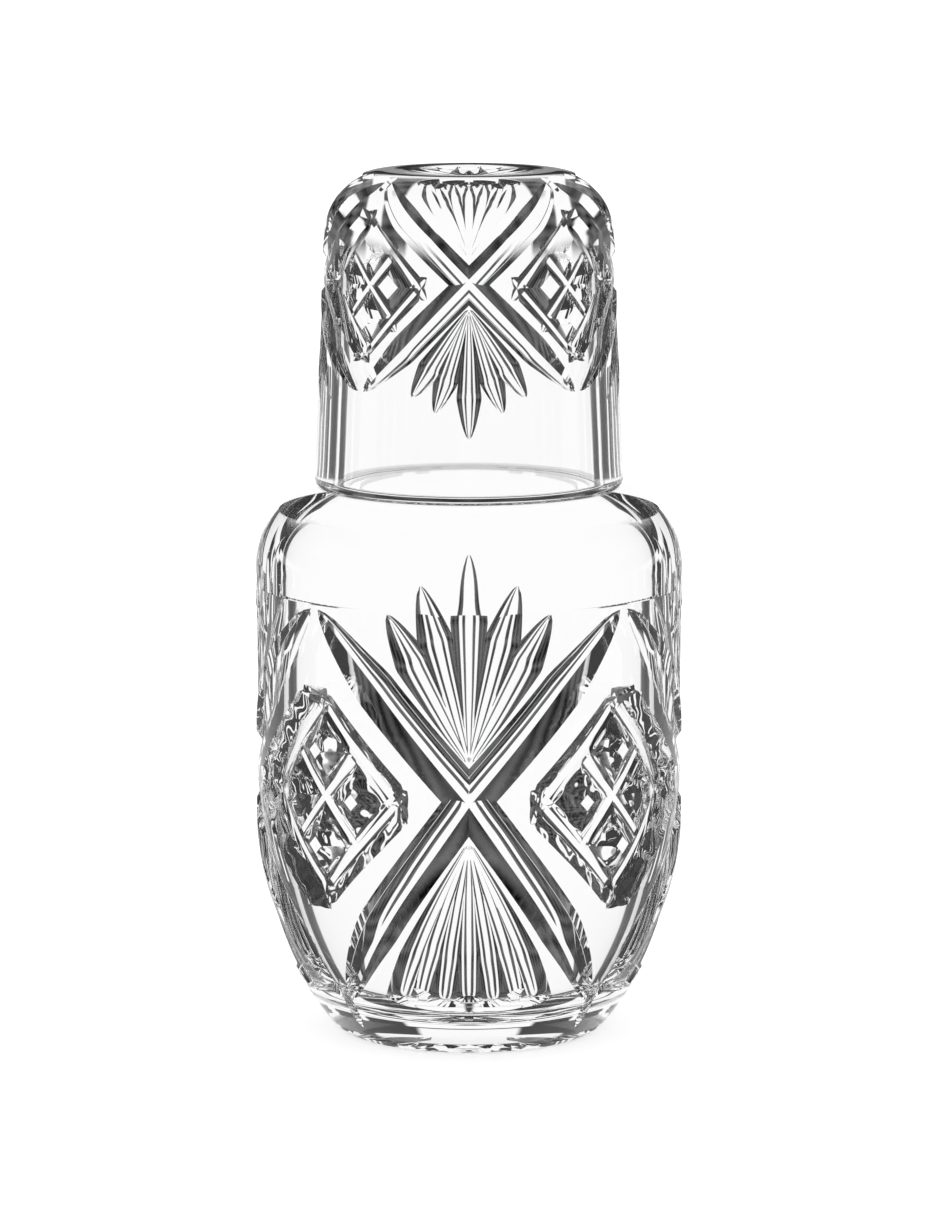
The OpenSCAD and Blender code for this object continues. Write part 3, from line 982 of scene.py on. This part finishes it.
@dataclass
class Tumbler(Vessel):
    """The tumbler, drawn on its base and then stood upside down over the carafe's neck."""

    name: str = "tumbler"
    place: Place = Place.UPSIDE_DOWN
    height: float = 74.0
    rim_r: float = 36.25
    heel_d: float = 67.5
    heel_r: float = 14.0
    wall: float = 4.5
    floor: float = 5.5
    floor_r: float = 9.5
    rim_flat: float = 1.5
    rim_side: float = 0.8
    rim_edge: float = 0.5
    rim_steps: int = 2
    floor_steps: int = 4
    cross_z: float = 23.0

    def __post_init__(self) -> None:
        """Works out the slope of the side and the centre of the heel."""
        self.heel_x = self.heel_d / 2 - self.heel_r
        self.slope = (self.rim_r - self.heel_d / 2) / (self.height - self.heel_r)
        self.lean = math.atan(self.slope)
        self.rim_round = (self.wall - self.rim_flat) / 2

    def ring(self) -> float:
        """Returns the outer radius of the flat ring under the base."""
        return self.heel_x

    def bore(self, z: float) -> float:
        """Returns the inner radius at a height above the base."""
        return self.heel_d / 2 - self.wall + (z - self.heel_r) * self.slope

    def outline(self) -> np.ndarray:
        """Returns half of the outline, inside and outside."""
        bend_z = self.floor + self.floor_r
        bend_x = self.bore(bend_z) - self.floor_r
        side = self.rim_r - self.slope * self.rim_round
        lip = self.height - self.rim_round
        pen = self._underside(Pen(0.0, self.hollow_h))
        pen.arc(self.heel_x, self.heel_r, self.heel_r, -90.0, 0.0)
        pen.line(side, lip, steps=self.side_steps, soften=self.rim_side)
        for r in (self.rim_r - self.rim_round, self.bore(lip) + self.rim_round):
            pen.line(r, self.height, steps=self.rim_steps, soften=self.rim_edge)
        pen.line(self.bore(lip), lip, steps=self.rim_steps, soften=self.rim_side)
        pen.line(bend_x + self.floor_r, bend_z, steps=self.inner_steps)
        pen.arc(bend_x, bend_z, self.floor_r, 0.0, -90.0)
        pen.line(0.0, self.floor, steps=self.floor_steps)
        return pen.outline()

    def skin(self, run: np.ndarray) -> tuple[np.ndarray, np.ndarray, np.ndarray]:
        """Returns radius, height and tilt of the outside at runs along it from the crossings."""
        z = self.cross_z + run * math.cos(self.lean)
        low = np.maximum((self.heel_r - self.cross_z) / math.cos(self.lean) - run, 0.0) / self.heel_r
        radius = np.where(low > 0, self.heel_x + self.heel_r * np.cos(low),
                          self.heel_d / 2 + (z - self.heel_r) * self.slope)
        level = np.where(low > 0, self.heel_r - self.heel_r * np.sin(low), z)
        return radius, level, np.where(low > 0, -low, -self.lean)

    def design(self) -> CutDesign:
        """Returns the design cut into the tumbler."""
        return CutDesign(
            arm_up=26.0, arm_down=24.5, tail=27.5, tall_start=6.0, tall_reach=(36.0, 30.0, 26.5),
            short_start=6.0, short_reach=(26.0, 27.0, 25.0, 27.0), net_middle=1.5, net_rise=7.5,
            arm_depth=2.1, leaf_depth=1.38, net_depth=2.1, valley=0.9, leaf_valley=0.4, net_valley=0.9,
            net_side=Side(1.4, 1.25), net_edge=Side(1.0, 1.25))


@dataclass(frozen=True)
class DarkBands:
    """Dark parts of the white studio that show only through the glass and in it, by angles in degrees.

    Off counts sideways from the nearest of the four sides, rise counts above level, and away counts
    from a point a little below level in the middle of a side.
    """

    below: float = 8.5
    down_share: float = 0.3
    ring: tuple[float, float] = (9.8, 12.6)
    ring_soft: float = 0.6
    ring_dark: float = 0.97
    outside: tuple[float, float] = (16.4, 17.2)
    corner: float = 45.0
    corner_half: tuple[float, float] = (6.0, 7.5)
    corner_rise: tuple[float, float] = (-32.0, -6.0)
    low_rise: tuple[float, float] = (-42.0, -36.0)
    low_off: tuple[float, float] = (12.0, 16.0)
    under: tuple[float, float] = (-50.2, -44.0)
    high_rise: tuple[float, float] = (28.0, 33.0)
    dark: float = 0.93
    wave_off: float = 1.8
    wave_rise: float = 1.3
    wave_dark: float = 0.035
    thrown_from: float = 0.5
    middle_rise: tuple[float, float] = (9.0, 44.0)
    middle_off: tuple[float, float] = (12.0, 14.0)
    lens_rise: tuple[float, float] = (21.5, 44.0)
    lens_off: tuple[float, float] = (28.5, 30.5)
    tier_rise: tuple[float, float] = (2.0, 3.0)
    stray_dark: float = 0.96
    first_streak: tuple[float, float] = (8.5, 9.5)
    streaks: tuple[tuple[float, float], ...] = ((16.5, 18.5), (25.0, 27.5), (36.0, 38.0))
    streak_rise: tuple[float, float] = (-14.0, -2.0)
    upward: tuple[float, float] = (-3.0, -1.0)
    sheen: float = 0.6
    sheen_gap: tuple[float, float] = (19.0, 40.0)
    sheen_rise: tuple[float, float] = (6.0, 18.5)
    sheen_more: float = 0.38

    def light(self, canvas: Canvas) -> Signal:
        """Returns how bright the studio is in each direction.

        Args:
            canvas: Node tree of the surroundings.

        Returns:
            1 for white, less where a ray through the glass or in it meets a dark band.
        """
        x, y, z = canvas.axes(canvas.node("ShaderNodeTexCoord").outputs["Generated"])
        off = canvas.aside(x, y)
        rise = z.maths("ARCSINE") * (180.0 / math.pi)
        path = canvas.node("ShaderNodeLightPath")
        through = canvas.signal(path, "Is Transmission Ray")
        thrown = canvas.signal(path, "Glossy Depth").maths("GREATER_THAN", self.thrown_from)
        dark = self._seen_through(off, rise)
        dark = dark + thrown * (self._seen_in(off, rise) - dark)
        sheen = self.sheen - rise.band(*self.sheen_gap) * self.sheen
        sheen = sheen + rise.band(*self.sheen_rise) * self.sheen_more
        mirrored = canvas.signal(path, "Is Glossy Ray") * (1.0 - through) * sheen
        return 1.0 - through * dark - mirrored

    def _seen_through(self, off: Signal, rise: Signal) -> Signal:
        """Returns how dark the studio is to rays that only pass through the glass."""
        lift = rise + self.below
        up = lift.maths("MAXIMUM", lift * self.down_share)
        away = (off * off + up * up).maths("SQRT")
        corner = (1.0 - abs(self.corner - off).ramp(*self.corner_half)) * rise.band(*self.corner_rise)
        waves = (off * self.wave_off).maths("SINE") + (rise * self.wave_rise).maths("SINE")
        dark = away.band(*self.ring, self.ring_soft) * self.ring_dark + away.ramp(*self.outside)
        low = rise.ramp(*self.low_rise).maths("MAXIMUM", off.ramp(*self.low_off))
        dark = (dark * (1.0 - corner) * low).maths("MAXIMUM", rise.band(*self.under))
        dark = dark * (self.dark + waves * self.wave_dark)
        return dark * (1.0 - rise.ramp(*self.high_rise))

    def _seen_in(self, off: Signal, rise: Signal) -> Signal:
        """Returns how dark the studio is to rays that are thrown back inside the glass."""
        middle = rise.band(*self.middle_rise) * (1.0 - off.ramp(*self.middle_off))
        lens = (rise.band(*self.lens_rise) * (1.0 - off.ramp(*self.lens_off))).maths("MAXIMUM", middle)
        tiers = rise.ramp(*self.tier_rise) * (1.0 - lens) * self.stray_dark
        streaks = 1.0 - off.ramp(*self.first_streak)
        for streak in self.streaks:
            streaks = streaks + off.band(*streak)
        streaks = (1.0 - streaks * rise.band(*self.streak_rise)) * self.stray_dark
        return streaks + rise.ramp(*self.upward) * (tiers - streaks)


@dataclass
class Studio:
    """Pale floor, white surroundings and the camera."""

    aim_z: float = 100.17
    distance: float = 1380.0
    elevation: float = 8.84
    focal_px: float = 5880.0
    image_h: float = 1215.0
    axis_px: float = 1.0
    sensor: float = 36.0
    view_depth: float = 50.0
    floor_r: float = 6000.0
    floor_tone: float = 0.8
    floor_rough: float = 0.9
    floor_glow: float = 0.45
    disc_sides: int = 96
    underlay_r: float = 34.0
    underlay_z: float = -0.02
    # Painted light and shade on the underlay: angles of its bright bands, their soft edge, and its lit and
    # shaded glow
    painted_light_off: tuple[float, float] = (3.5, 30.0)
    underlay_soft: float = 2.5
    painted_light_tone: float = 0.95
    painted_shade_tone: float = 0.04
    underlay_passes: float = 2.5
    bounces: int = 24
    glossy_bounces: int = 16

    def camera(self) -> None:
        """Places the camera at the photograph's viewing angle."""
        data = bpy.data.cameras.new("camera")
        data.sensor_fit = "VERTICAL"
        data.sensor_height = self.sensor
        data.lens = self.focal_px / self.image_h * self.sensor
        data.shift_x = self.axis_px / self.image_h
        data.clip_end = self.view_depth
        camera = bpy.data.objects.new("camera", data)
        bpy.context.scene.collection.objects.link(camera)
        tilt = math.radians(self.elevation)
        aim = Vector((0.0, 0.0, self.aim_z * MM))
        away = Vector((0.0, -math.cos(tilt), math.sin(tilt))) * self.distance * MM
        camera.location = aim + away
        camera.rotation_euler = (-away).to_track_quat("-Z", "Y").to_euler()
        bpy.context.scene.camera = camera

    def _disc(self, name: str, radius: float, z: float, finish: str) -> tuple[bpy.types.Object, Canvas]:
        """Makes a level disc about the axis.

        Args:
            name: Name of the disc.
            radius: Its radius.
            z: Its height.
            finish: Name of its material.

        Returns:
            The disc, and the empty node tree of its material.
        """
        turn = np.linspace(0.0, 2 * math.pi, self.disc_sides, endpoint=False)
        points = np.stack([np.cos(turn) * radius, np.sin(turn) * radius, np.full(len(turn), z)], axis=1)
        mesh = bpy.data.meshes.new(name)
        mesh.from_pydata((points * MM).tolist(), [], [tuple(range(len(turn)))])
        disc = bpy.data.objects.new(name, mesh)
        bpy.context.scene.collection.objects.link(disc)
        material = bpy.data.materials.new(finish)
        material.use_nodes = True
        mesh.materials.append(material)
        return disc, Canvas(material.node_tree)

    def floor(self) -> None:
        """Lays the floor under the set."""
        floor, canvas = self._disc("floor", self.floor_r, 0.0, "pale_floor")
        shader = canvas.node("ShaderNodeBsdfPrincipled", None, {
            "Base Color": (self.floor_tone, self.floor_tone, self.floor_tone, 1.0),
            "Roughness": self.floor_rough, "Specular IOR Level": 0.0,
            "Emission Color": canvas.grey(self._seen(canvas)), "Emission Strength": self.floor_glow})
        canvas.node("ShaderNodeOutputMaterial", None, {"Surface": shader.outputs["BSDF"]})
        floor.visible_transmission = False

    def underlay(self) -> None:
        """Lays a glowing disc under the carafe, seen only through the glass, with painted light in bands and
        painted shade between them, in place of the floor there.
        """
        underlay, canvas = self._disc("underlay", self.underlay_r, self.underlay_z, "painted_light_underlay")
        passes = canvas.signal(canvas.node("ShaderNodeLightPath"), "Transmission Depth")
        x, y, _ = canvas.axes(canvas.node("ShaderNodeTexCoord").outputs["Object"])
        # Painted light: the disc glows bright in bands of angle about the axis, and between them it is nearly
        # black as painted shade
        painted_light_mask = canvas.aside(x, y).band(*self.painted_light_off, self.underlay_soft)
        tone = painted_light_mask * self.painted_light_tone + self.painted_shade_tone
        painted_glow = canvas.node("ShaderNodeEmission", None, {"Color": canvas.grey(tone), "Strength": 1.0})
        open_air = canvas.node("ShaderNodeBsdfTransparent")
        shader = canvas.node("ShaderNodeMixShader", None, {
            "Fac": passes.maths("GREATER_THAN", self.underlay_passes),
            1: painted_glow.outputs[0], 2: open_air.outputs[0]})
        canvas.node("ShaderNodeOutputMaterial", None, {"Surface": shader.outputs[0]})
        underlay.visible_camera = underlay.visible_diffuse = False
        underlay.visible_glossy = underlay.visible_shadow = False

    @staticmethod
    def _seen(canvas: Canvas) -> Signal:
        """Returns 1 for rays from the camera, in reflections and through glass, and 0 for others."""
        path = canvas.node("ShaderNodeLightPath")
        total = canvas.signal(path, "Is Camera Ray") + canvas.signal(path, "Is Glossy Ray")
        return (total + canvas.signal(path, "Is Transmission Ray")).maths("MINIMUM", 1.0)

    @staticmethod
    def surroundings() -> None:
        """Surrounds the set with a white studio, whose dark bands show only through the glass and in it."""
        world = bpy.data.worlds.new("studio")
        world.use_nodes = True
        bpy.context.scene.world = world
        canvas = Canvas(world.node_tree)
        light = canvas.grey(DarkBands().light(canvas))
        shader = canvas.node("ShaderNodeBackground", None, {"Color": light, "Strength": 1.0})
        canvas.node("ShaderNodeOutputWorld", None, {"Surface": shader.outputs[0]})

    def build(self) -> None:
        """Makes the whole studio."""
        self.camera()
        self.floor()
        self.underlay()
        self.surroundings()
        scene = bpy.context.scene
        scene.view_settings.view_transform = "Standard"
        scene.cycles.max_bounces = self.bounces
        scene.cycles.transmission_bounces = self.bounces
        scene.cycles.glossy_bounces = self.glossy_bounces


def main() -> None:
    """Builds the set and its studio."""
    logging.basicConfig(level=logging.INFO, format="%(name)s: %(message)s")
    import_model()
    Studio().build()
    glass = ClearGlass().material()
    for vessel in (Carafe(), Tumbler()):
        vessel.build(glass)


if __name__ == "__main__":
    main()
